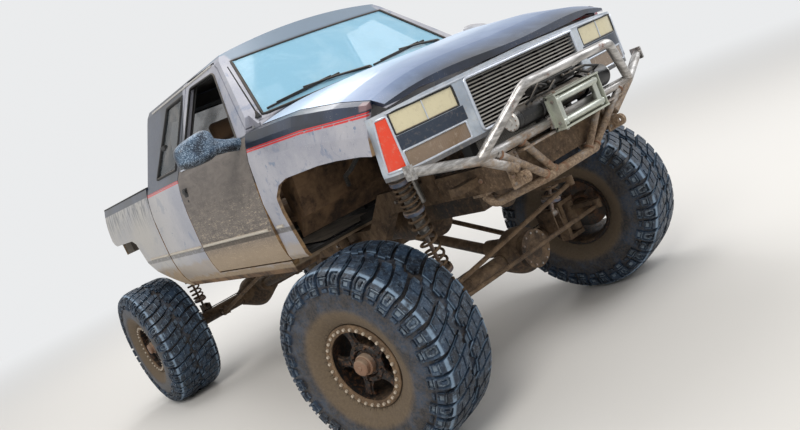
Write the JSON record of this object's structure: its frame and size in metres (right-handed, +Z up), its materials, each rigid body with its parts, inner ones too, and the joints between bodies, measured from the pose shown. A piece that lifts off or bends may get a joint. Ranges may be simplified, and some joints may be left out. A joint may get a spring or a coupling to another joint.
{
  "type": "lifted off-road pickup",
  "caption": "Lifted off-road pickup with an extended cab, short trimmed bed, tube bumper with winch and very large lugged tyres.",
  "frame": {"origin": "on the ground at the middle of the truck's length and width", "axes": "+Z up, the nose points along -Y, the truck's right side is -X"},
  "size_m": [2.6778, 5.2283, 2.4494],
  "materials": {
    "body_paint": "faded silver paint under dried mud",
    "dark_paint": "dark upper paint",
    "bare_steel": "bare dusty steel",
    "frame_steel": "rusty dusty steel",
    "zinc_steel": "zinc plated",
    "tyre_rubber": "mud covered",
    "rim_paint": "black with a dusty ring",
    "clear_glass": "clear",
    "lamp_glass": "yellowed",
    "amber_glass": "orange",
    "red_glass": "red",
    "dark_plastic": "matte",
    "grey_plastic": "faded silver",
    "cloth": "woven"
  },
  "bodies": {
    "chassis": {"frame": "frame_steel", "crossmembers": "frame_steel", "bumper_bar": "bare_steel", "bumper_hoop": "bare_steel", "bumper_lower": "bare_steel", "winch": "dark_plastic", "fairlead": "zinc_steel", "engine": "frame_steel", "driveline": "frame_steel", "front_axle": "frame_steel", "rear_axle": "frame_steel", "suspension_links": "frame_steel", "shocks": "zinc_steel", "springs": "frame_steel", "fuel_tank": "dark_plastic", "steering_box": "frame_steel", "cab": "body_paint", "windshield": "clear_glass", "cab_windows": "clear_glass", "fender_right": "body_paint", "fender_left": "body_paint", "header_panel": "grey_plastic", "headlamps": "lamp_glass", "turn_lamps": "lamp_glass", "side_markers": "amber_glass", "grille": "zinc_steel", "bed": "body_paint", "tail_lamps": "red_glass", "rear_bumper": "bare_steel", "seats": "cloth", "dashboard": "dark_plastic", "steering_wheel": "dark_plastic"},
    "hood": {"hood": "dark_paint"},
    "door_right": {"door_right": "body_paint", "mirror_right": "dark_plastic"},
    "door_left": {"door_left": "body_paint", "mirror_left": "dark_plastic"},
    "tailgate": {"tailgate": "body_paint"},
    "knuckle_right": {"knuckle_right": "frame_steel"},
    "knuckle_left": {"knuckle_left": "frame_steel"},
    "tie_rod": {"tie_rod": "frame_steel"},
    "pitman_arm": {"pitman_arm": "frame_steel"},
    "drag_link": {"drag_link": "frame_steel"},
    "wheel_front_right": {"tyre_front_right": "tyre_rubber", "rim_front_right": "rim_paint"},
    "wheel_front_left": {"tyre_front_left": "tyre_rubber", "rim_front_left": "rim_paint"},
    "wheel_rear_right": {"tyre_rear_right": "tyre_rubber", "rim_rear_right": "rim_paint"},
    "wheel_rear_left": {"tyre_rear_left": "tyre_rubber", "rim_rear_left": "rim_paint"}
  },
  "joints": [
    {"name": "steer", "type": "hinge", "parent": "chassis", "child": "knuckle_right", "pos_m": [-0.76, -1.534, 0.55716], "axis": [0, 0, 1], "range_deg": [-43, 13]},
    {"name": "steer_left", "type": "hinge", "parent": "chassis", "child": "knuckle_left", "pos_m": [0.76, -1.534, 0.55716], "axis": [0, 0, 1], "range_deg": [-43, 13]},
    {"name": "pitman_turn", "type": "hinge", "parent": "chassis", "child": "pitman_arm", "pos_m": [0.325, -1.784, 0.90216], "axis": [0, 0, 1], "range_deg": [-43, 13]},
    {"name": "tie_rod_pivot", "type": "hinge", "parent": "knuckle_right", "child": "tie_rod", "pos_m": [-0.70824, -1.72719, 0.60716], "axis": [0, 0, 1], "range_deg": [-13, 43]},
    {"name": "drag_link_pivot", "type": "hinge", "parent": "pitman_arm", "child": "drag_link", "pos_m": [0.37676, -1.97719, 0.90216], "axis": [0, 0, 1], "range_deg": [-13, 43]},
    {"name": "spin_front_right", "type": "hinge", "parent": "knuckle_right", "child": "wheel_front_right", "pos_m": [-0.98216, -1.59353, 0.55716], "axis": [-0.9659, -0.2588, 0], "continuous": true},
    {"name": "spin_front_left", "type": "hinge", "parent": "knuckle_left", "child": "wheel_front_left", "pos_m": [0.98216, -1.47447, 0.55716], "axis": [0.9659, 0.2588, 0], "continuous": true},
    {"name": "spin_rear_right", "type": "hinge", "parent": "chassis", "child": "wheel_rear_right", "pos_m": [-0.99, 2.056, 0.55716], "axis": [-1, 0, 0], "continuous": true},
    {"name": "spin_rear_left", "type": "hinge", "parent": "chassis", "child": "wheel_rear_left", "pos_m": [0.99, 2.056, 0.55716], "axis": [1, 0, 0], "continuous": true},
    {"name": "door_right_hinge", "type": "hinge", "parent": "chassis", "child": "door_right", "pos_m": [-0.95, -0.936, 1.41716], "axis": [0, 0, 1], "range_deg": [0, 65]},
    {"name": "door_left_hinge", "type": "hinge", "parent": "chassis", "child": "door_left", "pos_m": [0.95, -0.936, 1.41716], "axis": [0, 0, 1], "range_deg": [-65, 0]},
    {"name": "hood_hinge", "type": "hinge", "parent": "chassis", "child": "hood", "pos_m": [0, -1.142, 1.87316], "axis": [-1, 0, 0], "range_deg": [0, 50]},
    {"name": "tailgate_hinge", "type": "hinge", "parent": "chassis", "child": "tailgate", "pos_m": [0, 2.383, 1.44916], "axis": [-1, 0, 0], "range_deg": [0, 90]}
  ],
  "couplings": [
    {"joint": "steer_left", "follows": "steer", "ratio": 1},
    {"joint": "pitman_turn", "follows": "steer", "ratio": 1},
    {"joint": "tie_rod_pivot", "follows": "steer", "ratio": -1},
    {"joint": "drag_link_pivot", "follows": "steer", "ratio": -1}
  ]
}
